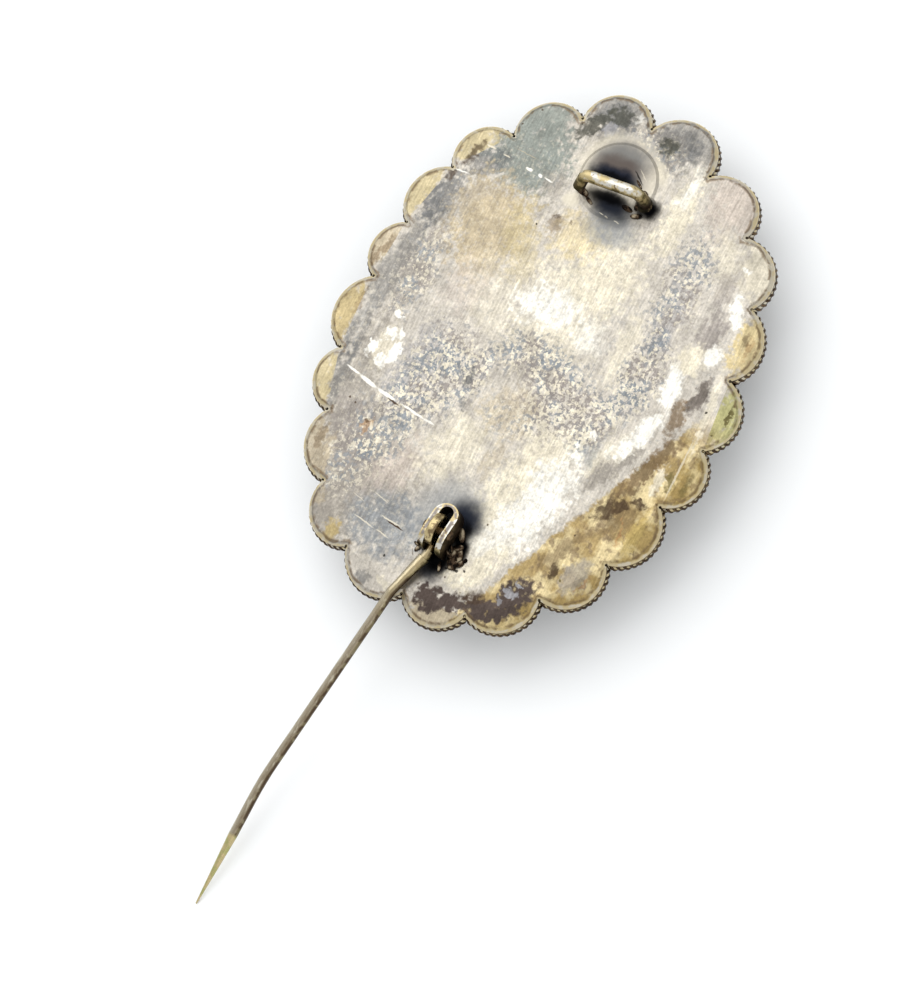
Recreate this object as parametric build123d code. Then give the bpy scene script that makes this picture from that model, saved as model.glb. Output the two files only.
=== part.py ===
from build123d import *
import os
from math import asin, cos, degrees, hypot, radians, sin, tan

# Scalloped oval silver brooch, lying face down with its pin swung open.
# Millimetres. +X runs along the oval from the hinge to the catch, +Z points out of the back.
# The origin is the middle of the flat crown of the scarab, on the surface that the brooch lies on.

# Back plate. The oval runs through the corners between the scallops, and the slope of the
# scallops is worked out as far as SLOPE_REACH outside it.
OVAL_LENGTH = 53.8
OVAL_WIDTH = 39.8
PLATE_THICKNESS = 0.6
BACK_HEIGHT = 8.0
SCALLOP_RISE = 2.4
SCALLOP_TILT = 8.0
BEVEL_WIDTH = 0.5
BEVEL_DEPTH = 0.18
KERF_WIDTH = 0.3
SECTOR_DEPTH = 2.0
SLOPE_REACH = 6.0

# Each row is one scallop: the angle of its first corner on the oval, in degrees, that corner's
# distance as a share of the oval's, and the scallop's rise as a share of SCALLOP_RISE.
SCALLOPS = [
    (20, 1.00, 1.38),
    (-1, 1.00, 1.50),
    (-24, 1.00, 1.20),
    (-44, 1.04, 1.05),
    (-61, 1.04, 0.90),
    (-77, 1.00, 0.96),
    (-93, 1.01, 0.92),
    (-108, 0.99, 0.96),
    (-125, 1.01, 1.00),
    (-143, 1.00, 1.00),
    (-163, 1.01, 0.92),
    (-183, 0.99, 1.00),
    (-205, 1.01, 1.12),
    (-224, 1.01, 0.97),
    (-241, 0.98, 0.97),
    (-256, 0.98, 1.10),
    (-273.8, 0.97, 0.93),
    (-288, 0.99, 1.02),
    (-303.8, 1.03, 1.16),
    (-320.8, 1.00, 1.20),
]

# Rope wire and raised bosses on the front of the scallops
ROPE_DIAMETER = 0.95
ROPE_OVERHANG = 0.25
ROPE_TUCK_ANGLE = 15.0
ROPE_END_GAP = 0.02
SOLDER_DEPTH = 0.08
BOSS_MARGIN = 0.45
BOSS_HEIGHT = 1.5

# Scarab and the setting round it
SCARAB_LENGTH = 36.0
SCARAB_WIDTH = 26.0
SCARAB_SEAT_GAP = 0.03
PLINTH_HEIGHT = 2.5
PLINTH_BEVEL = 0.3
LEDGE_WIDTH = 1.3
CROWN_SHARE = 0.27
CARVING_DEPTH = 0.4
CARVING_WIDTH = 0.45
DOME_STEPS = 6
HEAD_LINE_SHARE = 0.31
HEAD_LINE_RADIUS = 9.1
NECK_LINE_RADIUS = 20.8
BEZEL_HEIGHT = 1.9
BEZEL_WALL = 0.45
BEZEL_CLEARANCE = 0.04
COLLAR_WIDTH = 1.0
COLLAR_HEIGHT = 0.8

# Hinge bracket, bent like a hairpin from strip and soldered on edge
HINGE_INSET = 7.25
PIVOT_X = HINGE_INSET - OVAL_LENGTH / 2
PIVOT_Y = -0.25
PIVOT_HEIGHT = 2.4
HINGE_TURN = 2.4
STRIP_THICKNESS = 0.62
SLOT_WIDTH = 1.42
SLOT_END_SHIFT = 0.3
EAR_REACH = 2.2
EAR_HEIGHT = 3.6
EAR_ROUNDING = 1.6
BEND_START = 1.55
BEND_HEIGHT = 2.4
FOOT_LENGTH = 6.4
FOOT_WIDTH = 4.2
FOOT_HEIGHT = 0.2
FOOT_TOP_SHARE = 0.8

# Rivet through the ears and the eye
RIVET_DIAMETER = 0.8
RIVET_HEAD_DIAMETER = 1.15
RIVET_HEAD_HEIGHT = 0.22
RIVET_EAR_CLEARANCE = 0.02
RIVET_EYE_CLEARANCE = 0.04
RIVET_HEAD_GAP = 0.02

# Pin: a flattened eye and a wire stem, swung right open
PIN_DIAMETER = 0.96
EYE_DIAMETER = 3.3
EYE_THICKNESS = 0.9
EYE_EAR_GAP = 0.04
EYE_EDGE_RADIUS = 0.2
PIN_EXIT_GAP = 0.25
PIN_EXIT_DROP = 0.1
PIN_SHOULDER_GAP = 0.5
PIN_SHOULDER_DIAMETER = 1.25
PIN_SHOULDER_END = 0.94
PIN_SHOULDER_LENGTH = 3.8
PIN_EDGE_CLEARANCE = 0.24
PIN_FIRST_RUN = 5.1
PIN_FIRST_ANGLE = 20.0
PIN_MAIN_RUN = 22.6
PIN_MAIN_ANGLE = 12.6
PIN_LAST_RUN = 14.0
PIN_LAST_ANGLE = 6.0
PIN_KINK_RADIUS = 2.0
PIN_BEND_RADIUS = 40.0
POINT_LENGTH = 8.0
POINT_DIAMETER = 0.16
POINT_FLOOR_GAP = 0.02

# Catch: a hook of round wire on a soldered pad
CATCH_INSET = 7.85
CATCH_X = OVAL_LENGTH / 2 - CATCH_INSET
CATCH_TURN = 2.5
CATCH_WIRE = 1.25
CATCH_HEIGHT = 3.4
CATCH_LEG_Y = -3.4
CATCH_BULGE = 0.25
CATCH_BAR_END_Y = 2.55
CATCH_TIP_DROP = 1.85
CATCH_TIP_OUT = 0.75
CATCH_TIP_BACK = 0.8
CATCH_BEND_RADIUS = 0.75
CATCH_LUMP_DIAMETER = 2.3
CATCH_LUMP_HEIGHT = 0.5
PAD_DIAMETER = 8.4
PAD_HEIGHT = 0.15
PAD_OFFSET_X = 1.45
PAD_Y = 0.3

UP = (Align.CENTER, Align.CENTER, Align.MIN)
FRONT_HEIGHT = BACK_HEIGHT - PLATE_THICKNESS


def corner(index):
    """The corner where a scallop begins, in plan."""
    angle, share, _ = SCALLOPS[index % len(SCALLOPS)]
    x = OVAL_LENGTH / 2 * share * cos(radians(angle))
    y = OVAL_WIDTH / 2 * share * sin(radians(angle))
    return x, y


def side(index):
    """Middle, outward direction and half length of the bend line of one scallop, in plan."""
    (x1, y1), (x2, y2) = corner(index), corner(index + 1)
    half = hypot(x2 - x1, y2 - y1) / 2
    middle = Vector((x1 + x2) / 2, (y1 + y2) / 2)
    outward = Vector((y1 - y2) / (2 * half), (x2 - x1) / (2 * half))
    return middle, outward, half


def moved_corner(index, distance):
    """A corner moved so that the bend lines on both sides of it move out by the distance."""
    before, after = side(index - 1)[1], side(index)[1]
    shift = (before + after) * (distance / (1 + before.dot(after)))
    x, y = corner(index)
    return x + shift.X, y + shift.Y


def scallop(index):
    """The tilted plane, the circle's radius and centre, and the half angle of one scallop."""
    middle, outward, half = side(index)
    rise = SCALLOP_RISE * SCALLOPS[index][2]
    radius = (half**2 + rise**2) / (2 * rise)
    lean, level = sin(radians(SCALLOP_TILT)), cos(radians(SCALLOP_TILT))
    plane = Plane(
        origin=(middle.X, middle.Y, BACK_HEIGHT),
        x_dir=(outward.Y, -outward.X, 0),
        z_dir=(outward.X * lean, outward.Y * lean, level),
    )
    return plane, radius, rise - radius, degrees(asin(half / radius))


def sloped_block(drop):
    """All that lies under the plate's bent face: flat in the middle, sloping down outside it."""
    level = BACK_HEIGHT - drop
    low = level - SLOPE_REACH * tan(radians(SCALLOP_TILT))
    count = len(SCALLOPS)
    inner = [(*corner(index), level) for index in range(count)]
    outer = [(*moved_corner(index, SLOPE_REACH), low) for index in range(count)]
    under = [(x, y, -BACK_HEIGHT) for x, y, _ in outer]
    faces = [make_face(Polyline(*inner, close=True)), make_face(Polyline(*under, close=True))]
    for index in range(count):
        after = (index + 1) % count
        slope = Polyline(inner[index], inner[after], outer[after], outer[index], close=True)
        wall = Polyline(outer[index], outer[after], under[after], under[index], close=True)
        faces += [make_face(slope), make_face(wall)]
    return Solid(Shell([face.face() for face in faces]))


def sector(index, gap=0):
    """The upright wedge that holds one scallop, up to the valleys beside it less the gap."""
    along = side(index)[1].rotate(Axis.Z, -90) * gap
    edge = []
    for valley, distance, shift in (
        (index, -SECTOR_DEPTH, along),
        (index, SLOPE_REACH, along),
        (index + 1, SLOPE_REACH, -along),
        (index + 1, -SECTOR_DEPTH, -along),
    ):
        x, y = moved_corner(valley, distance)
        edge.append((x + shift.X, y + shift.Y))
    return extrude(make_face(Polyline(*edge, close=True)), 2 * BACK_HEIGHT)


def bevel_cut(index):
    """What a file takes off one scallop's upper edge, up to the valleys beside it."""
    plane, radius, centre, _ = scallop(index)
    cut = Cylinder(radius + BEVEL_WIDTH, 2 * BEVEL_DEPTH)
    cone = Cone(radius, radius - 2 * BEVEL_WIDTH, 2 * BEVEL_DEPTH, align=UP)
    cut -= Pos(0, 0, -BEVEL_DEPTH) * cone
    return plane * Pos(0, centre, 0) * cut & sector(index)


def back_plate():
    """The plate: flat inside the bend lines, with a bent and filed scallop on each side."""
    count = len(SCALLOPS)
    arcs = []
    for index in range(count):
        middle, outward, _ = side(index)
        top = middle + outward * (SCALLOP_RISE * SCALLOPS[index][2])
        arcs.append(ThreePointArc(corner(index), (top.X, top.Y), corner(index + 1)))
    blank = extrude(make_face(arcs), 2 * BACK_HEIGHT) & sloped_block(0)
    blank -= sloped_block(PLATE_THICKNESS)
    kerfs = [Pos(*corner(index)) * Cylinder(KERF_WIDTH / 2, 3 * BACK_HEIGHT) for index in range(count)]
    return blank.cut(*kerfs).cut(*[bevel_cut(index) for index in range(count)])


def scallop_rope(index):
    """The wire along one scallop's edge, on the front of the plate."""
    plane, radius, centre, half_angle = scallop(index)
    wire = ROPE_DIAMETER / 2
    sweep_angle = 2 * (half_angle + ROPE_TUCK_ANGLE)
    ring = Torus(radius - wire + ROPE_OVERHANG, wire, major_angle=sweep_angle, align=None)
    drop = -PLATE_THICKNESS - wire + SOLDER_DEPTH
    rope = plane * Pos(0, centre, drop) * Rot(Z=90 - sweep_angle / 2) * ring
    return rope & sector(index, ROPE_END_GAP)


def scallop_boss(index):
    """A low round boss inside one scallop's rope."""
    plane, radius, centre, _ = scallop(index)
    foot = radius + ROPE_OVERHANG - ROPE_DIAMETER - BOSS_MARGIN
    ball = (foot**2 + BOSS_HEIGHT**2) / (2 * BOSS_HEIGHT)
    boss = plane * Pos(0, centre, ball - BOSS_HEIGHT - PLATE_THICKNESS) * Sphere(ball)
    return boss & sloped_block(PLATE_THICKNESS - SOLDER_DEPTH)


def oval(length, width, height):
    """An upright oval block standing on the XY plane."""
    return extrude(Ellipse(length / 2, width / 2), height)


def front_trim():
    """The rope, the bosses, and the bezel and collar that hold the scarab."""
    pieces = []
    for index in range(len(SCALLOPS)):
        pieces.append(scallop_rope(index))
        pieces.append(scallop_boss(index))
    inner = 2 * BEZEL_CLEARANCE
    wall = inner + 2 * BEZEL_WALL
    collar = wall + 2 * COLLAR_WIDTH
    deep = BEZEL_HEIGHT + SOLDER_DEPTH
    low = COLLAR_HEIGHT + SOLDER_DEPTH
    ring = Pos(0, 0, -BEZEL_HEIGHT) * oval(SCARAB_LENGTH + wall, SCARAB_WIDTH + wall, deep)
    ring += Pos(0, 0, -COLLAR_HEIGHT) * oval(SCARAB_LENGTH + collar, SCARAB_WIDTH + collar, low)
    hollow = oval(SCARAB_LENGTH + inner, SCARAB_WIDTH + inner, BEZEL_HEIGHT)
    ring -= Pos(0, 0, -BEZEL_HEIGHT) * hollow
    pieces.append(Pos(0, 0, FRONT_HEIGHT) * ring)
    return pieces


def hinge_place():
    """Where the hinge stands on the back: X towards the catch, Y along the rivet."""
    return Pos(PIVOT_X, PIVOT_Y, BACK_HEIGHT) * Rot(Z=-HINGE_TURN)


def hairpin(bend, width):
    """A flat shape with a round end at the bend, open towards the ears' ends."""
    straight = Rectangle(bend + 2 * EAR_REACH, width, align=(Align.MAX, Align.CENTER))
    return Pos(bend, 0) * (Circle(width / 2) + straight)


def hinge_bracket():
    """The hairpin of strip with rounded ears, its top sloping down to the bend, and its solder."""
    width = SLOT_WIDTH + 2 * STRIP_THICKNESS
    plan = hairpin(BEND_START, width) - hairpin(BEND_START + SLOT_END_SHIFT, SLOT_WIDTH)
    bend_reach = BEND_START + width / 2 + SOLDER_DEPTH
    side_view = make_face(
        Polyline(
            (-EAR_REACH, -SOLDER_DEPTH),
            (-EAR_REACH, EAR_HEIGHT),
            (bend_reach, BEND_HEIGHT),
            (bend_reach, -SOLDER_DEPTH),
            close=True,
        )
    )
    ear_tip = side_view.vertices().sort_by(Axis.X)[:2].sort_by(Axis.Y)[-1]
    side_view = fillet(ear_tip, EAR_ROUNDING)
    envelope = extrude(Plane.XZ * side_view, width, both=True)
    strip = Pos(0, 0, -SOLDER_DEPTH) * extrude(plan, EAR_HEIGHT + SOLDER_DEPTH) & envelope
    hole = Cylinder(RIVET_DIAMETER / 2 + RIVET_EAR_CLEARANCE, 2 * width, rotation=(90, 0, 0))
    strip -= Pos(0, 0, PIVOT_HEIGHT) * hole
    foot = loft(
        [
            Pos(0, 0, -SOLDER_DEPTH) * Ellipse(FOOT_LENGTH / 2, FOOT_WIDTH / 2),
            Pos(0, 0, FOOT_HEIGHT) * Ellipse(
                FOOT_LENGTH / 2 * FOOT_TOP_SHARE, FOOT_WIDTH / 2 * FOOT_TOP_SHARE
            ),
        ],
        ruled=True,
    )
    return hinge_place() * (strip + foot)


def catch_hook():
    """The C of wire: soldered leg, bar across the pin's line, and a bent-down free end."""
    route = FilletPolyline(
        (0, CATCH_LEG_Y, -SOLDER_DEPTH),
        (0, CATCH_LEG_Y - CATCH_BULGE, CATCH_HEIGHT / 2),
        (0, CATCH_LEG_Y + CATCH_BULGE, CATCH_HEIGHT),
        (0, CATCH_BAR_END_Y, CATCH_HEIGHT),
        (-CATCH_TIP_BACK, CATCH_BAR_END_Y + CATCH_TIP_OUT, CATCH_HEIGHT - CATCH_TIP_DROP),
        radius=CATCH_BEND_RADIUS,
    )
    section = Plane(origin=route @ 0, z_dir=route % 0) * Circle(CATCH_WIRE / 2)
    wire = sweep(section, path=route)
    lump = Cone(CATCH_LUMP_DIAMETER / 2, CATCH_WIRE / 2, CATCH_LUMP_HEIGHT, align=UP)
    slope = PAD_DIAMETER / 2 - 2 * PAD_HEIGHT
    pad = Pos(0, 0, -SOLDER_DEPTH) * Cylinder(PAD_DIAMETER / 2, SOLDER_DEPTH, align=UP)
    pad += Cone(PAD_DIAMETER / 2, slope, PAD_HEIGHT, align=UP)
    hook = wire + Pos(0, CATCH_LEG_Y, 0) * lump
    place = Pos(CATCH_X, 0, BACK_HEIGHT)
    return place * Rot(Z=CATCH_TURN) * hook + place * Pos(PAD_OFFSET_X, PAD_Y, 0) * pad


def rivet():
    """The hinge rivet, headed over both ears."""
    outer = SLOT_WIDTH / 2 + STRIP_THICKNESS + RIVET_HEAD_GAP
    shank = Cylinder(RIVET_DIAMETER / 2, 2 * outer)
    narrow = RIVET_DIAMETER / 2
    head = Cone(RIVET_HEAD_DIAMETER / 2, narrow, RIVET_HEAD_HEIGHT, align=UP)
    heads = Pos(0, 0, outer) * head + Pos(0, 0, -outer) * Rot(X=180) * head
    return hinge_place() * Pos(0, 0, PIVOT_HEIGHT) * Rot(X=90) * (shank + heads)


def slot_side(thickness):
    """How far from the slot's middle a piece of this thickness lies when it runs along one ear."""
    return (SLOT_WIDTH - thickness) / 2 - EYE_EAR_GAP


def pin_route():
    """The stem's corners: out of the eye, over the plate's edge, and down to the surface."""
    place = hinge_place() * Pos(0, slot_side(PIN_DIAMETER), 0)
    depth = PIVOT_HEIGHT - EYE_DIAMETER / 2 + PIN_DIAMETER / 2
    start = (place * Pos(0, 0, depth)).position
    leave = (place * Pos(-EAR_REACH - PIN_EXIT_GAP, 0, depth - PIN_EXIT_DROP)).position
    tip_height = POINT_DIAMETER / 2 + POINT_FLOOR_GAP
    edge_height = BACK_HEIGHT + PIN_DIAMETER / 2 + PIN_EDGE_CLEARANCE
    fall = (edge_height - tip_height) / (PIN_MAIN_RUN + PIN_LAST_RUN)
    corners = [start, leave]
    runs = [
        (PIN_FIRST_RUN, PIN_FIRST_ANGLE, edge_height),
        (PIN_MAIN_RUN, PIN_MAIN_ANGLE, edge_height - fall * PIN_MAIN_RUN),
        (PIN_LAST_RUN, PIN_LAST_ANGLE, tip_height),
    ]
    for run, angle, height in runs:
        last = corners[-1]
        x = last.X - run * cos(radians(angle))
        y = last.Y + run * sin(radians(angle))
        corners.append(Vector(x, y, height))
    return corners


def pin():
    """The pin in one piece: flattened eye, thick shoulder, bent stem and ground point."""
    corners = pin_route()
    along = (corners[-1] - corners[-2]).normalized()
    ground = corners[-1] - along * POINT_LENGTH
    bends = [PIN_KINK_RADIUS, PIN_KINK_RADIUS, PIN_BEND_RADIUS]
    route = FilletPolyline(*corners[:-1], ground, radius=bends)
    section = Plane(origin=route @ 0, z_dir=route % 0) * Circle(PIN_DIAMETER / 2)
    stem = sweep(section, path=route)
    point = Cone(PIN_DIAMETER / 2, POINT_DIAMETER / 2, POINT_LENGTH, align=UP)
    stem += Plane(origin=ground, z_dir=along) * point
    out = (corners[2] - corners[1]).normalized()
    taper = Cone(PIN_SHOULDER_DIAMETER / 2, PIN_SHOULDER_END / 2, PIN_SHOULDER_LENGTH, align=UP)
    stem += Plane(origin=corners[1] + out * PIN_SHOULDER_GAP, z_dir=out) * taper
    eye = Cylinder(EYE_DIAMETER / 2, EYE_THICKNESS)
    eye = fillet(eye.edges().filter_by(GeomType.CIRCLE), EYE_EDGE_RADIUS)
    hole = Cylinder(RIVET_DIAMETER / 2 + RIVET_EYE_CLEARANCE, 2 * EYE_THICKNESS)
    stand = hinge_place() * Pos(0, slot_side(EYE_THICKNESS), PIVOT_HEIGHT) * Rot(X=90)
    return stem + stand * eye - stand * hole


def scarab_body(inset):
    """The beetle's domed body above the plinth, made smaller all round by the inset."""
    length = SCARAB_LENGTH / 2 - LEDGE_WIDTH - inset
    width = SCARAB_WIDTH / 2 - LEDGE_WIDTH - inset
    height = FRONT_HEIGHT - SCARAB_SEAT_GAP - PLINTH_HEIGHT - inset
    sections = []
    for step in range(DOME_STEPS + 1):
        turn = radians(90 * step / DOME_STEPS)
        share = CROWN_SHARE + (1 - CROWN_SHARE) * cos(turn)
        level = PLINTH_HEIGHT + height * sin(turn)
        sections.append(Pos(0, 0, level) * Ellipse(length * share, width * share))
    return loft(sections)


def carved_lines():
    """The cuts between head, neck and wing cases, as deep as the whole stone."""
    neck = SCARAB_LENGTH * CROWN_SHARE / 2 + CARVING_WIDTH
    head = SCARAB_LENGTH * HEAD_LINE_SHARE
    depth = 2 * FRONT_HEIGHT
    along = (Align.MAX, Align.CENTER, Align.CENTER)
    lines = Pos(-neck, 0, 0) * Box(SCARAB_LENGTH, CARVING_WIDTH, depth, align=along)
    for reach, radius in ((neck, NECK_LINE_RADIUS), (head, HEAD_LINE_RADIUS)):
        ring = Cylinder(radius + CARVING_WIDTH / 2, depth)
        ring -= Cylinder(radius - CARVING_WIDTH / 2, depth)
        lines += Pos(reach + radius, 0, 0) * ring
    return lines & Box(SCARAB_LENGTH, SCARAB_WIDTH, depth)


def scarab():
    """A plain carved scarab: plinth, domed body and cut lines. Its crown is flat."""
    body = scarab_body(0) - (carved_lines() - scarab_body(CARVING_DEPTH))
    plinth = oval(SCARAB_LENGTH, SCARAB_WIDTH, PLINTH_HEIGHT)
    plinth = chamfer(plinth.faces().sort_by(Axis.Z)[-1].edges(), PLINTH_BEVEL)
    return Pos(0, 0, FRONT_HEIGHT - SCARAB_SEAT_GAP) * Rot(X=180) * (plinth + body)


def silver_mount():
    """All the soldered silver as one solid."""
    return back_plate().fuse(*front_trim(), hinge_bracket(), catch_hook())


os.makedirs("parts", exist_ok=True)
NODES = {
    "silver_mount": silver_mount,
    "scarab_stone": scarab,
    "hinge_rivet": rivet,
    "pin": pin,
}
for node_name, build in NODES.items():
    export_step(build(), f"parts/{node_name}.step")
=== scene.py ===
import bpy
from math import asin, atan2, cos, degrees, hypot, radians, sin
from mathutils import Matrix, Vector, noise


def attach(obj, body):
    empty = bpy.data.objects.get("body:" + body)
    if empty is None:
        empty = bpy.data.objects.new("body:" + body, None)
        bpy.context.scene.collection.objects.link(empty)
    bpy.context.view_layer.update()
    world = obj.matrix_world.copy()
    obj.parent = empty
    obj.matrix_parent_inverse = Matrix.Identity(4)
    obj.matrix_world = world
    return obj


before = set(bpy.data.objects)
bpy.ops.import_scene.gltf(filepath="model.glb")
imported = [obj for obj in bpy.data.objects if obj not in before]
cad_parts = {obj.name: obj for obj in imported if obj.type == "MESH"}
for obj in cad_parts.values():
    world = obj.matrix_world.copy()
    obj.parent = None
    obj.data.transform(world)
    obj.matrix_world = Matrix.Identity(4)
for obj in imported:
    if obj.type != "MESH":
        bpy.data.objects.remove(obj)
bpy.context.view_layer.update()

bl_info = {
    "name": "Scalloped Scarab Brooch",
    "version": (1, 0, 0),
    "blender": (4, 5, 0),
    "location": "3D View > Sidebar > Brooch",
    "description": "Dresses the metal, the stone and the rope edge of a scarab brooch lying face down",
    "category": "Object",
}

MM = 0.001

# The oval plate and its scallops, in millimetres, as the metal itself has them
OVAL_LENGTH = 53.8
OVAL_WIDTH = 39.8
PLATE_THICKNESS = 0.6
BACK_HEIGHT = 8.0
SCALLOP_RISE = 2.4
SCALLOP_TILT = 8.0
ROPE_CORE_DIAMETER = 0.95
ROPE_CORE_OVERHANG = 0.25
SOLDER_DEPTH = 0.08
ROPE_CORE_DROP = PLATE_THICKNESS + ROPE_CORE_DIAMETER / 2 - SOLDER_DEPTH

# Each row is one scallop: the angle of its first corner on the oval in degrees, that corner's
# distance as a share of the oval's, and the scallop's rise as a share of SCALLOP_RISE.
SCALLOPS = [
    (20, 1.00, 1.38),
    (-1, 1.00, 1.50),
    (-24, 1.00, 1.20),
    (-44, 1.04, 1.05),
    (-61, 1.04, 0.90),
    (-77, 1.00, 0.96),
    (-93, 1.01, 0.92),
    (-108, 0.99, 0.96),
    (-125, 1.01, 1.00),
    (-143, 1.00, 1.00),
    (-163, 1.01, 0.92),
    (-183, 0.99, 1.00),
    (-205, 1.01, 1.12),
    (-224, 1.01, 0.97),
    (-241, 0.98, 0.97),
    (-256, 0.98, 1.10),
    (-273.8, 0.97, 0.93),
    (-288, 0.99, 1.02),
    (-303.8, 1.03, 1.16),
    (-320.8, 1.00, 1.20),
]

# Camera, at the photograph's viewing angle: its place in millimetres and its three axes
CAMERA_PLACE = (-55.84, -94.79, 287.56)
CAMERA_RIGHT = (0.4493, -0.863, -0.2311)
CAMERA_UP = (0.8834, 0.3905, 0.2592)
CAMERA_BACK = (-0.1334, -0.3206, 0.9378)
CAMERA_SENSOR = 36.0
CAMERA_LENS = 108.15
CAMERA_NEAR = 0.01

# The lamps, in metres: each one's place and the side of its square
KEY_LAMP = ((0.25, 0.35, 0.6), 0.8)
FILL_LAMP = ((-0.3, -0.5, 0.35), 0.6)
FLOOR_ROUGHNESS = 0.7


def linear(red, green, blue):
    """A colour picked from 0 to 255, as the light values that a shader wants."""
    shares = [value / 255 for value in (red, green, blue)]
    return tuple(s / 12.92 if s <= 0.04045 else ((s + 0.055) / 1.055) ** 2.4 for s in shares)


def deselect_all():
    """Leaves edit mode's selection and every object unselected."""
    if bpy.context.object and bpy.context.object.mode != "OBJECT":
        bpy.ops.object.mode_set(mode="OBJECT")
    bpy.ops.object.select_all(action="DESELECT")


def activate(piece):
    """Makes one piece the only selected one, and the active one."""
    deselect_all()
    piece.select_set(True)
    bpy.context.view_layer.objects.active = piece


def apply_modifier(piece, kind, name, **settings):
    """Adds one modifier with its settings and applies it at once."""
    activate(piece)
    modifier = piece.modifiers.new(name, kind)
    for key, value in settings.items():
        setattr(modifier, key, value)
    bpy.ops.object.modifier_apply(modifier=name)


def corner(index):
    """The corner where a scallop begins, in plan, in millimetres."""
    angle, share, _ = SCALLOPS[index % len(SCALLOPS)]
    x = OVAL_LENGTH / 2 * share * cos(radians(angle))
    y = OVAL_WIDTH / 2 * share * sin(radians(angle))
    return Vector((x, y, 0))


def scallop_place(index):
    """One scallop's tilted frame, its circle's radius and centre, and its half angle."""
    start, end = corner(index), corner(index + 1)
    half = (end - start).length / 2
    middle = (start + end) / 2
    outward = Vector((start.y - end.y, end.x - start.x, 0)) / (2 * half)
    rise = SCALLOP_RISE * SCALLOPS[index][2]
    radius = (half**2 + rise**2) / (2 * rise)
    lean, level = sin(radians(SCALLOP_TILT)), cos(radians(SCALLOP_TILT))
    z_axis = Vector((outward.x * lean, outward.y * lean, level))
    x_axis = Vector((outward.y, -outward.x, 0))
    y_axis = z_axis.cross(x_axis)
    place = Matrix((x_axis, y_axis, z_axis)).transposed().to_4x4()
    place.translation = (middle + Vector((0, 0, BACK_HEIGHT))) * MM
    return place, radius, rise - radius, asin(half / radius)


class BroochStageSettings(bpy.types.PropertyGroup):
    """The floor and the lamps round the brooch."""

    floor_size: bpy.props.FloatProperty(
        name="Floor size",
        description="Side of the square floor",
        default=3.0,
        unit="LENGTH",
    )
    floor_colour: bpy.props.FloatVectorProperty(
        name="Floor colour",
        description="Colour of the plain pale floor",
        default=linear(246, 248, 249),
        subtype="COLOR",
    )
    sky_strength: bpy.props.FloatProperty(
        name="Sky strength",
        description="Brightness of the even light from all round",
        default=0.95,
    )
    key_power: bpy.props.FloatProperty(
        name="Key lamp power",
        description="Power of the large soft lamp at the upper left",
        default=2.4,
        subtype="POWER",
    )
    fill_power: bpy.props.FloatProperty(
        name="Fill lamp power",
        description="Power of the low wide lamp on the other side",
        default=0.3,
        subtype="POWER",
    )


class BroochRopeSettings(bpy.types.PropertyGroup):
    """The twisted wire along the front edge of the scallops."""

    rope_diameter: bpy.props.FloatProperty(
        name="Rope diameter",
        description="Diameter of the whole twisted wire",
        default=1.2 * MM,
        unit="LENGTH",
    )
    strand_diameter: bpy.props.FloatProperty(
        name="Strand diameter",
        description="Diameter of each of its three strands",
        default=0.6 * MM,
        unit="LENGTH",
    )
    pitch: bpy.props.FloatProperty(
        name="Twist length",
        description="Length of one full turn of a strand",
        default=1.8 * MM,
        unit="LENGTH",
    )
    tuck_angle: bpy.props.FloatProperty(
        name="Tuck angle",
        description="How far each rope runs on past its corners before it is mitred",
        default=radians(15),
        subtype="ANGLE",
    )


class BROOCH_OT_stage(bpy.types.Operator):
    """Lays the pale floor and sets up the lamps and the camera"""

    bl_idname = "brooch.stage"
    bl_label = "Stage"

    def execute(self, context):
        settings = context.scene.brooch_stage
        lay_floor(settings)
        light_the_room(context, settings)
        place_camera(context)
        return {"FINISHED"}


def lay_floor(settings):
    """A plain pale floor under the brooch."""
    deselect_all()
    bpy.ops.mesh.primitive_plane_add(size=settings.floor_size, location=(0, 0, 0))
    floor = bpy.context.object
    floor.name = "pale_floor"
    material = bpy.data.materials.new("pale_paper")
    material.use_nodes = True
    shader = material.node_tree.nodes["Principled BSDF"]
    shader.inputs["Base Color"].default_value = (*settings.floor_colour, 1)
    shader.inputs["Roughness"].default_value = FLOOR_ROUGHNESS
    floor.data.materials.append(material)


def add_lamp(name, place, size, power):
    """One square area lamp that faces the brooch."""
    deselect_all()
    bpy.ops.object.light_add(type="AREA", location=place)
    lamp = bpy.context.object
    lamp.name = name
    lamp.data.size = size
    lamp.data.energy = power
    lamp.rotation_mode = "QUATERNION"
    lamp.rotation_quaternion = Vector(place).to_track_quat("Z", "Y")


def light_the_room(context, settings):
    """Soft light: an even pale sky, a large lamp at the upper left and a weak one opposite."""
    world = bpy.data.worlds.new("pale_room")
    context.scene.world = world
    world.use_nodes = True
    sky = world.node_tree.nodes["Background"]
    sky.inputs["Color"].default_value = (1, 1, 1, 1)
    sky.inputs["Strength"].default_value = settings.sky_strength
    context.scene.view_settings.view_transform = "Standard"
    add_lamp("key_lamp", *KEY_LAMP, settings.key_power)
    add_lamp("fill_lamp", *FILL_LAMP, settings.fill_power)


def place_camera(context):
    """The camera at the photograph's viewing angle and distance."""
    deselect_all()
    bpy.ops.object.camera_add()
    camera = bpy.context.object
    camera.name = "photo_camera"
    camera.data.sensor_fit = "VERTICAL"
    camera.data.sensor_height = CAMERA_SENSOR
    camera.data.lens = CAMERA_LENS
    camera.data.clip_start = CAMERA_NEAR
    axes = Matrix((CAMERA_RIGHT, CAMERA_UP, CAMERA_BACK)).transposed().to_4x4()
    axes.translation = Vector(CAMERA_PLACE) * MM
    camera.matrix_world = axes
    context.scene.camera = camera


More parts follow.
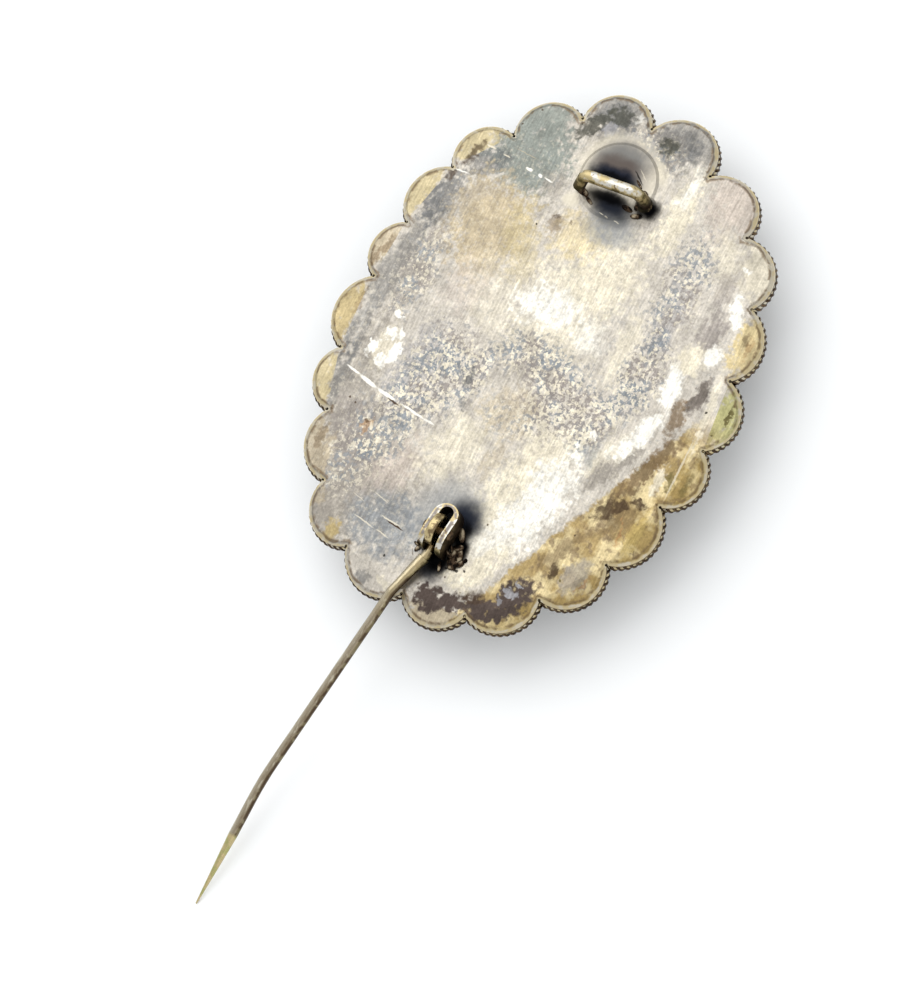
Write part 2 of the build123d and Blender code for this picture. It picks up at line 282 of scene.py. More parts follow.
class BROOCH_OT_rope_edge(bpy.types.Operator):
    """Winds a twisted wire along the front edge of every scallop"""

    bl_idname = "brooch.rope_edge"
    bl_label = "Rope edge"

    def execute(self, context):
        settings = context.scene.brooch_rope
        straight = straight_rope(settings)
        material = oxidised_and_shaded_rope()
        for index in range(len(SCALLOPS)):
            rope = scallop_rope(straight, settings, index)
            rope.data.materials.append(material)
            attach(rope, "brooch")
        bpy.data.objects.remove(straight)
        return {"FINISHED"}


ROPE_STRANDS = 3
ROPE_SIDES = 8
ROPE_STEPS_A_TURN = 14


def rope_radius(radius):
    """Radius of the rope's middle line along a scallop of the given radius, in metres."""
    return (radius - ROPE_CORE_DIAMETER / 2 + ROPE_CORE_OVERHANG) * MM


def straight_rope(settings):
    """The rope modelled once, straight along X, as long as the longest scallop needs."""
    length = 0
    for index in range(len(SCALLOPS)):
        _, radius, _, half_angle = scallop_place(index)
        length = max(length, 2 * rope_radius(radius) * (half_angle + settings.tuck_angle))
    turns = int(length / settings.pitch) + 1
    offset = (settings.rope_diameter - settings.strand_diameter) / 2
    deselect_all()
    bpy.ops.mesh.primitive_circle_add(
        vertices=ROPE_SIDES,
        radius=settings.strand_diameter / 2,
        location=(-turns * settings.pitch / 2, 0, offset),
        rotation=(0, radians(90), 0),
    )
    rope = bpy.context.object
    rope.name = "straight_rope"
    bpy.ops.object.transform_apply(location=True, rotation=True, scale=True)
    bpy.ops.object.mode_set(mode="EDIT")
    bpy.ops.mesh.select_all(action="SELECT")
    for _ in range(ROPE_STRANDS - 1):
        bpy.ops.mesh.duplicate()
        bpy.ops.transform.rotate(
            value=radians(360 / ROPE_STRANDS), orient_axis="X", center_override=(0, 0, 0)
        )
    bpy.ops.object.mode_set(mode="OBJECT")
    apply_modifier(
        rope,
        "SCREW",
        "twist",
        axis="X",
        angle=radians(360 * turns),
        screw_offset=turns * settings.pitch,
        steps=ROPE_STEPS_A_TURN * turns,
        render_steps=ROPE_STEPS_A_TURN * turns,
        use_merge_vertices=False,
    )
    activate(rope)
    bpy.ops.object.mode_set(mode="EDIT")
    bpy.ops.mesh.select_all(action="SELECT")
    bpy.ops.mesh.normals_make_consistent(inside=False)
    bpy.ops.object.mode_set(mode="OBJECT")
    bpy.ops.object.shade_smooth()
    mark_crests(rope, settings.rope_diameter / 2)
    return rope


def mark_crests(rope, radius):
    """Keeps for each point how near it is to the outside of the straight rope, as a share."""
    crest = rope.data.attributes.new("crest", "FLOAT", "POINT")
    shares = [hypot(vertex.co.y, vertex.co.z) / radius for vertex in rope.data.vertices]
    crest.data.foreach_set("value", shares)


def cut_away(piece, point, outward, fill):
    """Cuts off what lies beyond a plane, and closes the cut if asked."""
    activate(piece)
    bpy.ops.object.mode_set(mode="EDIT")
    bpy.ops.mesh.select_all(action="SELECT")
    bpy.ops.mesh.bisect(
        plane_co=point, plane_no=outward, use_fill=fill, clear_outer=True, clear_inner=False
    )
    bpy.ops.object.mode_set(mode="OBJECT")


def scallop_rope(straight, settings, index):
    """A copy of the straight rope, cut to length, bent and mitred for one scallop."""
    place, radius, centre, half_angle = scallop_place(index)
    bend = rope_radius(radius)
    reach = bend * (half_angle + settings.tuck_angle)
    rope = straight.copy()
    rope.data = straight.data.copy()
    rope.name = f"rope_{index + 1:02d}"
    bpy.context.scene.collection.objects.link(rope)
    cut_away(rope, (reach, 0, 0), (1, 0, 0), False)
    cut_away(rope, (-reach, 0, 0), (-1, 0, 0), False)
    low = min(vertex.co.x for vertex in rope.data.vertices)
    high = max(vertex.co.x for vertex in rope.data.vertices)
    apply_modifier(
        rope,
        "SIMPLE_DEFORM",
        "bend",
        deform_method="BEND",
        deform_axis="Z",
        angle=-(high - low) / bend,
    )
    shift = Matrix.Translation((0, centre * MM + bend, -ROPE_CORE_DROP * MM))
    rope.matrix_world = place @ shift
    activate(rope)
    bpy.ops.object.transform_apply(location=True, rotation=True, scale=True)
    for valley, hand in ((index, -1), (index + 1, 1)):
        before, after = corner(valley - 1), corner(valley + 1)
        along = (after - before).normalized() * hand
        point = corner(valley) * MM
        cut_away(rope, point, along, True)
    return rope


def oxidised_and_shaded_rope():
    """Blackened silver with a painted highlight in brown along the crests of the strands, oxide and
    painted shade in the crevices between them, and rubbed brighter in places on the crests.
    """
    paint = Painter("oxidised_and_shaded_rope", "black")
    crest = paint.node("ShaderNodeAttribute", {}, "Fac", attribute_name="crest")
    # Painted highlight: brown on the crests; the black base left between the strands is oxide and
    # painted shade
    paint.lay("brown", paint.fade(crest, 0.6, 0.95, 0.75))
    wear = paint.noise(paint.solid, 0.5, 6.0)
    rubbed = paint.math("MULTIPLY", paint.fade(crest, 0.86, 1.0), paint.fade(wear, 0.42, 0.66))
    paint.lay("umber", paint.math("MULTIPLY", rubbed, 0.8))
    return paint.finish(1.0, paint.fade(crest, 1.3, 0.4, 0.6))


# How much brighter than its own colour the metal looks under the lamps
LAMP_GAIN = 1.62

# The part of the range from 0 to 1 that noise mostly keeps to
NOISE_SPREAD = (0.3, 0.7)

# Colours as they look under the lamps, from 0 to 255
PALETTE = {
    "white": (255, 252, 242),
    "cream": (240, 231, 208),
    "pearl": (214, 207, 195),
    "pink": (216, 203, 190),
    "pewter": (180, 173, 162),
    "mauve": (168, 160, 154),
    "lilac": (172, 171, 174),
    "blue": (150, 156, 161),
    "slate": (112, 114, 116),
    "sea_grey": (158, 163, 155),
    "moss_grey": (92, 92, 82),
    "tan": (206, 191, 162),
    "straw": (214, 198, 154),
    "pale_gold": (234, 214, 162),
    "gold": (208, 184, 118),
    "ochre": (188, 162, 104),
    "lime": (208, 204, 138),
    "olive": (124, 114, 74),
    "umber": (138, 116, 88),
    "brown": (94, 76, 60),
    "plum": (100, 88, 82),
    "rust": (190, 148, 98),
    "navy": (34, 40, 54),
    "black": (12, 12, 14),
    "sea_glaze": (58, 122, 118),
    "deep_glaze": (22, 58, 62),
    "pale_glaze": (112, 160, 146),
}


def rgba(name):
    """One colour of the palette, dimmed to the metal's own, as a shader socket takes it."""
    return (*(value / LAMP_GAIN for value in linear(*PALETTE[name])), 1)


class Painter:
    """Builds one material: colours laid over one another by masks worked out from a place."""

    def __init__(self, name, colour):
        self.material = bpy.data.materials.new(name)
        self.material.use_nodes = True
        self.tree = self.material.node_tree
        self.shader = self.tree.nodes["Principled BSDF"]
        self.colour = rgba(colour)
        place = self.tree.nodes.new("ShaderNodeTexCoord")
        self.solid = self.vector("MULTIPLY", place.outputs["Object"], (1 / MM, 1 / MM, 1 / MM))
        self.plan = self.vector("MULTIPLY_ADD", self.solid, (1, 1, 0), (0, 0, 1))
        self.height = self.part(self.solid, "Z")
        self.facing = self.part(place.outputs["Normal"], "Z")
        self.normal = place.outputs["Normal"]

    def put(self, socket, value):
        """Links a socket to another one, or sets its plain value."""
        if isinstance(value, bpy.types.NodeSocket):
            self.tree.links.new(value, socket)
        else:
            socket.default_value = value

    def node(self, kind, inputs, output=0, **settings):
        """Adds a node, fills its inputs and gives back one of its outputs."""
        new = self.tree.nodes.new(kind)
        for key, value in settings.items():
            setattr(new, key, value)
        for key, value in inputs.items():
            self.put(new.inputs[key], value)
        return new.outputs[output]

    def math(self, operation, *values):
        """A number worked out from others."""
        return self.node("ShaderNodeMath", dict(enumerate(values)), operation=operation)

    def vector(self, operation, *values):
        """A vector worked out from others."""
        return self.node("ShaderNodeVectorMath", dict(enumerate(values)), operation=operation)

    def part(self, vector, axis):
        """One of a vector's three numbers."""
        return self.node("ShaderNodeSeparateXYZ", {0: vector}, axis)

    def noise(self, where, scale, detail=3.0, output="Fac"):
        """Cloudy noise with so many lumps to the millimetre."""
        inputs = {"Vector": where, "Scale": scale, "Detail": detail}
        return self.node("ShaderNodeTexNoise", inputs, output)

    def scatter(self, value, reach):
        """Noise spread about 0, as far as the reach to each side at its very most."""
        return self.math("MULTIPLY_ADD", value, 2 * reach, -reach)

    def fade(self, value, start, end, strength=1.0):
        """0 at the start of a range, and up smoothly to the strength at its end."""
        inputs = {"Value": value, "From Min": start, "From Max": end, "To Max": strength}
        return self.node("ShaderNodeMapRange", inputs, interpolation_type="SMOOTHSTEP")

    def spread(self, value, start, end, low, high):
        """A range of a value stretched evenly over another one."""
        inputs = {"Value": value, "From Min": start, "From Max": end, "To Min": low, "To Max": high}
        return self.node("ShaderNodeMapRange", inputs)

    def warp(self, where, *steps):
        """A place moved to and fro by noise, so that what is drawn there has a ragged edge. Each
        step has its lumps to the millimetre and its reach."""
        for scale, reach in steps:
            shift = self.vector("SUBTRACT", self.noise(where, scale, 3.0, "Color"), (0.5, 0.5, 0.5))
            where = self.vector("MULTIPLY_ADD", shift, (2 * reach, 2 * reach, 0), where)
        return where

    def turned(self, where, turn, scale):
        """A place turned and stretched, for grain that runs one way."""
        inputs = {"Vector": where, "Rotation": (0, 0, radians(turn)), "Scale": scale}
        return self.node("ShaderNodeMapping", inputs)

    def spot(self, where, x, y, long, wide, turn=0.0, strength=1.0, soft=0.5, grit=0.0):
        """A mask of an ellipse on the plate. It fades over the soft share of its radius, where
        grit breaks it up."""
        along = self.distance(where, x, y, turn, long)
        across = self.distance(where, x, y, turn + 90, wide)
        square = self.math("MULTIPLY_ADD", across, across, grit)
        square = self.math("MULTIPLY_ADD", along, along, square)
        return self.fade(square, 1, (1 - soft) ** 2, strength)

    def distance(self, where, x, y, turn, unit=1.0):
        """How far a place on the plate lies from a point, measured along one direction."""
        east, north = cos(radians(turn)) / unit, sin(radians(turn)) / unit
        inputs = {0: where, 1: (east, north, -(x * east + y * north))}
        return self.node("ShaderNodeVectorMath", inputs, "Value", operation="DOT_PRODUCT")

    def blend(self, mask, under, over):
        """One colour laid over another by a mask."""
        inputs = {0: mask, 6: under, 7: over}
        return self.node("ShaderNodeMix", inputs, 2, data_type="RGBA")

    def lay(self, colour, mask):
        """Lays a colour over what is there."""
        self.colour = self.blend(mask, self.colour, rgba(colour) if isinstance(colour, str) else colour)

    def lay_spots(self, where, rows, grit=0.0):
        """Lays a chart of spots, each row a colour and a spot's numbers."""
        for colour, *numbers in rows:
            self.lay(colour, self.spot(where, *numbers, grit))

    def shade(self, value, low, high):
        """Makes the colour darker or lighter by noise, which keeps near the middle."""
        share = self.spread(value, *NOISE_SPREAD, low, high)
        self.colour = self.node("ShaderNodeHueSaturation", {"Color": self.colour, "Value": share})

    def finish(self, metallic, roughness, relief=None):
        """Joins the colour, roughness and relief in millimetres to the shader."""
        self.shader.inputs["Metallic"].default_value = metallic
        self.put(self.shader.inputs["Base Color"], self.colour)
        self.put(self.shader.inputs["Roughness"], roughness)
        if relief is not None:
            inputs = {"Height": relief, "Distance": MM, "Strength": 1.0}
            self.put(self.shader.inputs["Normal"], self.node("ShaderNodeBump", inputs))
        return self.material


def dress(node, material):
    """Gives a finish to a piece of the model that keeps its own shape."""
    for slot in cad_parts[node].material_slots:
        slot.material = material


# Charts of the back, in millimetres. Each row is a colour, the middle of a spot, its half
# length and half width, its turn in degrees, its strength, and the share that fades.

# Broad soft clouds of tarnish and of clean metal; the white and cream ones are clean metal with a
# painted reflection of the lamps on it
TARNISH_AND_SHEEN_CLOUDS = [
    ("pewter", -18, 11, 9, 9, 0, 0.95, 0.6),
    ("pewter", -9, 15.6, 8, 3.4, 5, 0.9, 0.7),
    ("pewter", 4, 15.4, 9, 2.8, -3, 0.8, 0.8),
    ("mauve", -14, 13.4, 5, 2.4, 20, 0.6, 0.7),
    ("blue", -21, 6, 4.2, 5.6, -10, 0.75, 0.9),
    ("lilac", -5, 10.6, 6.5, 3.4, 0, 0.5, 0.8),
    ("slate", 3, 17.6, 13, 1.3, -3, 0.5, 0.8),
    ("slate", 12.2, 16.3, 4.4, 1.9, -16, 0.7, 0.6),
    ("slate", -9.5, 17.3, 4.4, 1.3, 10, 0.5, 0.7),
    ("sea_grey", 19.8, 10, 5.4, 5.6, 0, 1.0, 0.4),
    ("slate", 17, 13.6, 2.2, 2.8, 24, 0.6, 0.7),
    ("slate", 22.4, 12.6, 3.4, 1.2, -30, 0.45, 0.7),
    ("pewter", 17.6, 6.2, 2.4, 2, 0, 0.7, 0.8),
    ("pewter", 25, 0.4, 3.4, 6.5, 0, 0.95, 0.6),
    ("lilac", 24.4, -0.6, 2, 3.4, 0, 0.6, 0.8),
    ("slate", 26.2, 3.6, 3, 2.6, -30, 0.6, 0.7),
    ("slate", 26, -4, 3, 2.8, 30, 0.5, 0.7),
    ("pewter", 25.4, -3.6, 2.6, 2.6, 0, 0.8, 0.6),
    ("pink", 22, -11.4, 4.6, 2.2, 0, 0.6, 0.8),
    ("tan", 11, 10.6, 6.4, 5.2, 20, 1.0, 0.45),
    ("straw", 10.5, 6.4, 6.4, 2.6, 32, 0.6, 0.8),
    ("pewter", 13, 13.6, 3.2, 1.2, -40, 0.4, 0.8),
    ("cream", 4.6, 6.6, 5.4, 4, 30, 0.5, 0.8),
    ("pink", 4.4, 10, 3.6, 3.4, 20, 0.5, 0.8),
    ("pink", -15.4, 7.8, 4.8, 2.6, -30, 0.75, 0.8),
    ("cream", -11, 3, 5.4, 3.4, -25, 0.8, 0.8),
    ("tan", -5.4, -0.6, 2.8, 4.4, 10, 0.6, 0.8),
    ("tan", -10.5, -1.2, 3, 1.4, 0, 0.5, 0.8),
    ("cream", -12.5, -5.6, 11, 4.6, -14, 1.0, 0.6),
    ("white", -13, -7.3, 8, 3.2, -18, 1.0, 0.7),
    ("white", -17.6, -4.6, 4, 1.8, -20, 0.6, 0.8),
    ("cream", -21.4, -4.9, 4.2, 1.8, -30, 1.0, 0.6),
    ("cream", 6.5, -0.5, 9, 6, 0, 0.9, 0.8),
    ("white", 6, 0.8, 2.6, 4.6, 10, 0.95, 0.8),
    ("white", 4.6, -4.4, 2.4, 2.2, 0, 0.5, 0.8),
    ("cream", 11.6, -3.2, 5.4, 4.4, 0, 0.85, 0.8),
    ("pale_gold", 13.6, 1.4, 3, 4, 0, 0.55, 0.8),
    ("pewter", 0.4, -0.4, 3.6, 5.6, 10, 0.6, 0.8),
    ("cream", 5, -8.2, 5.5, 1.6, 0, 0.7, 0.8),
    ("cream", 19.5, -7, 6.5, 1.8, -2, 1.0, 0.7),
    ("white", 22.4, -7, 2.6, 0.9, -8, 0.7, 0.8),
    ("cream", 17, -13.6, 4.4, 1.6, 22, 0.6, 0.8),
    ("lilac", 10, -11, 6, 1.8, 0, 0.45, 0.8),
    ("pewter", -6.4, -12.4, 4.6, 1.2, -26, 0.95, 0.5),
    ("cream", -4.4, -12.4, 5.2, 1.2, -28, 0.7, 0.7),
    ("white", -2.4, -13.6, 5, 1.1, -26, 1.0, 0.6),
    ("blue", -5.4, -10.4, 2.4, 0.9, 0, 0.5, 0.7),
]

# Where the mottled blue-grey tarnish is thick: spots without a colour of their own
MOTTLED = [
    (-5, 8.4, 7.4, 4.8, 0, 1.0, 0.7),
    (-12, 10.6, 5.6, 3.6, 10, 0.8, 0.8),
    (-3, 4.4, 4.4, 1.8, 0, 1.0, 0.8),
    (-2.4, -4.6, 6, 4.8, 20, 1.0, 0.7),
    (-3.4, -9, 4.6, 2.4, 0, 1.0, 0.7),
    (3, -11, 6.5, 2.6, 0, 1.0, 0.7),
    (13, -10.8, 8, 3, 0, 0.85, 0.8),
    (4, 15, 7, 2.4, 0, 0.8, 0.8),
    (0.6, 0, 3.4, 5, 0, 1.0, 0.9),
    (24.5, -2, 3.4, 4, 0, 0.7, 0.8),
    (-17, 13, 6, 4, 0, 0.6, 0.8),
    (-6, -0.6, 2.6, 4, 0, 0.4, 0.8),
]

# One row for each scallop, from the one by the catch on: its own colour, how strong that is, and
# whether it starts sharply at the bend, where that sharp edge is a painted shade edge of the bend as
# well as a change of tone
LOBE_COLOURS = [
    ("slate", 0.5, False),
    ("slate", 0.45, False),
    ("pink", 0.6, False),
    ("cream", 0.75, False),
    ("pale_gold", 0.9, False),
    ("lime", 0.85, True),
    ("gold", 0.95, False),
    ("pale_gold", 0.95, False),
    ("ochre", 0.7, False),
    ("gold", 0.85, True),
    ("tan", 0.9, True),
    ("pearl", 0.5, False),
    ("pewter", 0.6, False),
    ("tan", 0.7, False),
    ("straw", 0.85, True),
    ("gold", 0.7, True),
    ("tan", 0.85, True),
    ("straw", 0.85, True),
    ("straw", 0.85, True),
    ("sea_grey", 0.9, False),
]

# Patches with ragged edges
PATCHES = [
    ("umber", -5.4, -15.9, 6, 1.1, -22, 0.85, 0.6),
    ("umber", -16, -11.9, 5, 1, -26, 0.6, 0.7),
    ("umber", -11.4, -15.4, 3.4, 1.8, -30, 0.6, 0.7),
    ("brown", -10.4, -14.4, 2.4, 0.9, -50, 0.85, 0.6),
    ("brown", -8.8, -16.7, 0.7, 1.3, 0, 0.85, 0.6),
    ("pewter", -18, -14.2, 2.6, 1.5, -14, 0.7, 0.6),
    ("gold", -12, -17.8, 4, 0.7, -6, 0.7, 0.7),
    ("plum", -26, -1.6, 1.7, 1.9, 0, 1.0, 0.4),
    ("plum", -25.3, -4.2, 1.1, 2, 20, 1.0, 0.4),
    ("plum", -24.7, -7.2, 1.5, 2.6, 10, 1.0, 0.4),
    ("plum", -22.6, -9.5, 3.4, 1.9, -22, 1.0, 0.4),
    ("brown", -24, -6, 1, 1.6, 30, 0.6, 0.7),
    ("lilac", -22, -9.1, 0.6, 0.9, 0, 0.9, 0.4),
    ("lilac", -20.9, -9.5, 0.4, 0.5, 0, 0.9, 0.4),
    ("lilac", -23.2, -8.2, 0.5, 0.4, 0, 0.6, 0.4),
    ("brown", -18.4, -12, 1, 0.6, 0, 0.85, 0.6),
    ("rust", -18.2, -15.2, 1.7, 0.25, -20, 0.6, 0.7),
    ("rust", -12.4, -16.3, 1.8, 0.25, 12, 0.6, 0.7),
    ("brown", -13.6, -18.2, 0.5, 0.3, 0, 0.6, 0.7),
    ("cream", -6, -17.4, 2, 0.8, 0, 0.8, 0.7),
    ("olive", -5.6, -18.6, 1.6, 0.5, 0, 0.7, 0.7),
    ("olive", -5.4, -20, 1.6, 0.4, 0, 0.5, 0.7),
    ("plum", 3.4, -17.3, 2.3, 1, -6, 0.75, 0.6),
    ("umber", 0.4, -16.3, 2.6, 1, 0, 0.8, 0.6),
    ("mauve", 9.6, -15.6, 2.8, 1.6, 0, 0.75, 0.6),
    ("mauve", 14, -14.8, 2.8, 1.1, 0, 0.5, 0.7),
    ("white", 3.4, -14.4, 3.4, 1.2, 4, 1.0, 0.6),
    ("cream", 6.4, -15, 2, 1.9, -10, 1.0, 0.6),
    ("white", 7.6, -16.8, 1.5, 1, -10, 1.0, 0.6),
    ("white", 12.6, -17, 2.3, 0.9, 18, 1.0, 0.6),
    ("cream", 2, -18.8, 6, 0.5, 4, 0.7, 0.7),
    ("rust", 9.6, -19.6, 1.6, 0.5, 0, 0.45, 0.7),
    ("umber", 10.3, -19.1, 0.9, 0.35, 0, 0.5, 0.7),
    ("olive", 2.6, -21, 1.3, 0.25, 0, 0.9, 0.5),
    ("white", 17, -16, 0.25, 0.8, 0, 0.9, 0.5),
    ("moss_grey", 25.7, -3, 1.2, 1.5, 0, 0.85, 0.8),
    ("slate", 26.4, -5.4, 1.8, 0.9, 30, 0.45, 0.8),
    ("moss_grey", 25, 5.4, 2.6, 1, -36, 0.8, 0.5),
    ("moss_grey", 27, 3.2, 1.3, 1.7, 0, 0.75, 0.5),
    ("lilac", 25.2, 3.4, 0.9, 0.8, 0, 0.7, 0.6),
    ("white", 27.3, 1.4, 0.9, 0.5, 0, 0.5, 0.8),
    ("cream", -4.4, 14.4, 3, 1.6, 0, 0.7, 0.8),
    ("white", -5, 15.8, 1.3, 0.6, -20, 1.0, 0.5),
    ("white", -6, 14.2, 0.8, 0.8, 0, 1.0, 0.5),
    ("white", -4.7, 13.3, 1.5, 0.6, 0, 1.0, 0.5),
    ("white", -3, 14.5, 0.9, 0.7, 30, 1.0, 0.5),
    ("white", -2.6, 13.6, 0.7, 0.4, 0, 0.9, 0.5),
    ("white", -1.2, 14.8, 0.4, 0.8, 0, 0.8, 0.5),
    ("white", -7.1, -8.6, 0.45, 0.55, 0, 0.9, 0.5),
    ("white", -5.8, -8.6, 0.5, 0.35, 0, 0.9, 0.5),
    ("white", -4.3, -9.3, 0.55, 0.45, 0, 0.9, 0.5),
    ("rust", -12.8, 12.4, 1, 0.6, 0, 0.6, 0.7),
    ("brown", -12.2, 12.6, 0.3, 0.25, 0, 0.7, 0.6),
    ("slate", -26.8, 5.4, 1, 1.3, 0, 0.65, 0.8),
    ("gold", -23.7, 10.6, 1.5, 1.1, 0, 0.7, 0.6),
    ("cream", -26.4, 3.2, 1.2, 0.6, 60, 0.7, 0.7),
    ("tan", -21.2, 13.4, 1.2, 0.6, 10, 0.6, 0.6),
    ("umber", -15.6, 16.3, 1.8, 0.5, 0, 0.5, 0.7),
    ("brown", 17.6, 15.6, 2.2, 0.6, -16, 0.75, 0.7),
    ("brown", 14.8, 16.6, 1.1, 0.5, -30, 0.7, 0.7),
    ("umber", 13.9, 4.2, 1.6, 1, 0, 0.5, 0.8),
    ("brown", 14.8, 4.2, 0.4, 0.3, 0, 0.6, 0.6),
    ("brown", 15, 3, 0.3, 0.3, 0, 0.6, 0.6),
    ("slate", -4.2, 4.9, 1.6, 0.5, 0, 0.7, 0.7),
    ("slate", -7, 4.2, 0.8, 0.4, 0, 0.5, 0.7),
    ("umber", 4.6, 19.6, 2.4, 0.6, -14, 0.6, 0.7),
    ("umber", -1, 19.2, 2.6, 0.4, 0, 0.4, 0.8),
]

# Heat stains and soot round the hinge and the catch, with painted shadow cast by the hinge and the
# hook: the black beside the hinge's ears and the dark strips along the catch's bar are heat stain and
# painted shadow, and the cream halo beside the catch's pad is a painted highlight
SOOT_AND_SHADOW = [
    ("blue", -17.6, 0.6, 5, 4.4, -20, 0.6, 0.9),
    ("slate", -17.6, -1.2, 3.6, 3.2, -20, 0.7, 0.9),
    ("navy", -17.3, -1.4, 2.3, 2.4, -30, 0.95, 0.8),
    ("navy", -22.8, -0.2, 2.4, 1.9, 20, 0.9, 0.7),
    ("black", -22.2, -1, 1.8, 1.7, 0, 1.0, 0.7),
    ("black", -20, -2.3, 2.6, 1.1, 14, 1.0, 0.6),
    ("black", -18.2, -1.6, 1.3, 1.3, 0, 0.8, 0.8),
    ("black", -20, 0, 2.6, 1.9, 0, 1.0, 0.5),
    ("cream", 21.2, 0.6, 5, 5, 0, 0.6, 0.3),
    ("pewter", 21.6, 0.4, 4, 4, 0, 0.6, 0.3),
    ("slate", 22.4, 0.8, 2.7, 3.6, 6, 0.75, 0.6),
    ("plum", 21.8, 0.8, 1.8, 3.3, 6, 0.8, 0.7),
    ("navy", 20.7, 0.9, 1.4, 3.7, 4, 0.95, 0.6),
    ("black", 20.6, 1, 0.8, 3.3, 4, 0.9, 0.7),
    ("blue", 15.6, -1.2, 2.6, 3.6, 0, 0.65, 0.9),
    ("slate", 17, -0.6, 1.6, 3, 0, 0.8, 0.9),
    ("navy", 17.9, -0.2, 1.5, 3.1, 0, 0.95, 0.8),
    ("black", 18.5, 0.6, 1, 3.2, 3, 0.95, 0.7),
    # Painted shadow of the hook's leg, laid over its foot
    ("black", 19, -3.8, 1.3, 1.9, 5, 1.0, 0.6),
    # Painted highlight: cream beside the catch's pad
    ("cream", 17, 4, 1.2, 1.1, -25, 0.7, 0.8),
    ("cream", 23, -3.4, 2, 0.8, 40, 0.5, 0.8),
]

# Scratches: thin and long
SCRATCHES = [
    ("white", -8, 16.4, 1.1, 0.16, 78, 1.0, 0.5),
    ("white", -8.5, 14.4, 1.3, 0.26, 76, 1.0, 0.4),
    ("white", -9, 12, 1.4, 0.24, 80, 1.0, 0.4),
    ("brown", -9.4, 11, 0.9, 0.14, 80, 0.9, 0.5),
    ("white", -9.5, 8.6, 1.8, 0.16, 80, 0.95, 0.5),
    ("white", -9.8, 6.6, 0.8, 0.14, 85, 0.8, 0.5),
    ("brown", -20.75, 4.8, 1.2, 0.1, 83, 1.0, 0.4),
    ("cream", -20.5, 5.4, 1.5, 0.08, 83, 0.9, 0.5),
    ("cream", -21.6, 8, 1.6, 0.1, 78, 0.8, 0.6),
    ("cream", -22, 5.6, 1, 0.08, 78, 0.8, 0.6),
    ("cream", -18.7, 7.5, 1.2, 0.07, 75, 0.7, 0.6),
    ("cream", -19.6, 9.6, 1, 0.06, 75, 0.6, 0.6),
    ("brown", -22.4, 1.9, 0.5, 0.05, 30, 0.8, 0.5),
    ("white", 15.35, 15.9, 0.9, 0.12, 92, 0.9, 0.5),
    ("cream", 18.9, 14.2, 0.7, 0.15, 84, 0.9, 0.5),
    ("cream", 18.6, 12.2, 0.5, 0.1, 84, 0.8, 0.5),
    ("white", 18.2, 9.4, 0.5, 0.2, 84, 0.95, 0.4),
    ("white", 18, 8, 0.35, 0.2, 60, 0.95, 0.4),
    ("white", 17.9, 7, 0.6, 0.12, 84, 0.9, 0.5),
    ("tan", 19.6, 10.4, 1.8, 0.05, 84, 0.7, 0.6),
    ("cream", -4, -18.8, 4.2, 0.14, 0, 0.6, 0.6),
    ("cream", 16.7, 0.3, 0.35, 0.08, 80, 0.6, 0.5),
    ("cream", 16.6, -0.3, 0.25, 0.08, 80, 0.6, 0.5),
    ("cream", 16.5, -1.5, 0.4, 0.08, 80, 0.6, 0.5),
    ("black", 21.6, -1.6, 1.1, 0.1, 50, 0.8, 0.5),
    ("cream", 22, -1.9, 0.9, 0.08, 50, 0.5, 0.5),
]

# Pits and specks of dirt: a colour, the middle and the radius
SPECKS = [
    ("brown", -10.7, 15.4, 0.16),
    ("brown", -11, 14.6, 0.14),
    ("black", -23.9, 4.4, 0.17),
    ("black", -22.45, -1.97, 0.16),
    ("black", -22.3, -3.1, 0.2),
    ("black", -22, -3.8, 0.18),
    ("brown", -23.3, -2.3, 0.14),
    ("black", 2.2, -18.7, 0.15),
    ("olive", 0.3, -20.2, 0.15),
    ("olive", -18.9, -13, 0.18),
    ("brown", -14.2, -12.3, 0.14),
    ("brown", 22.4, 12.4, 0.16),
    ("brown", 24.6, 11.2, 0.14),
    ("black", 13.2, 6, 0.12),
    ("brown", -16.8, -3.8, 0.12),
]

# The straight border below which the metal is brassy: a point on it and its turn in degrees,
# how soft it is, and how far along it the brassy metal fades out
BRASSY_BORDER = (-21, -7.5, -26)
BRASSY_SOFTNESS = (0.15, -0.3)
BRASSY_END = (27, 22)
BRASSY_STRENGTH = 0.9

# The hinge bracket: the middle of its bend and its turn, its outer and inner half widths, and
# how far from each edge of its strip the worn middle starts
BRACKET_PLACE = (-18.1, -0.31, -2.4)
BRACKET_REACH = 1.33
BRACKET_SLOT = 0.71
WORN_OUTSIDE = (0.08, 0.22)
WORN_INSIDE = (0.08, 0.2)

# Heights where one finish passes into the next, from its start to where it is whole
PLATE_HEIGHT = (BACK_HEIGHT + 0.05, BACK_HEIGHT - 0.01)
FITTING_HEIGHT = (BACK_HEIGHT + 0.22, BACK_HEIGHT + 0.34)
# Below this the fittings go black: painted shadow near the plate as well as dirt
DIRTY_AND_SHADED_HEIGHT = (BACK_HEIGHT + 3.2, BACK_HEIGHT + 1.0)
# Above this their upward faces go creamy: painted highlight as well as rubbing
RUBBED_AND_LIT_HEIGHT = (BACK_HEIGHT + 1.0, BACK_HEIGHT + 1.8)
ROPE_CORE_HEIGHT = (BACK_HEIGHT - 0.95, BACK_HEIGHT - 1.15)
FRONT_HEIGHT = (BACK_HEIGHT - 1.1, BACK_HEIGHT - 1.7)

# How steeply the metal's skin faces up, from 1 for level to 0 for upright, as it leaves the
# middle of the plate for a scallop
BENT_FACING = (0.9985, 0.9955)

# The rim, in millimetres in from the plate's edge: the groove's painted shade line, the bright line
# with its painted highlight, and their sway
GROOVE_OUTSIDE = (0.3, 0.42)
GROOVE_INSIDE = (0.75, 0.5)
BRIGHT_LINE = (0.36, 0.2)
RIM_SWAY = 0.35

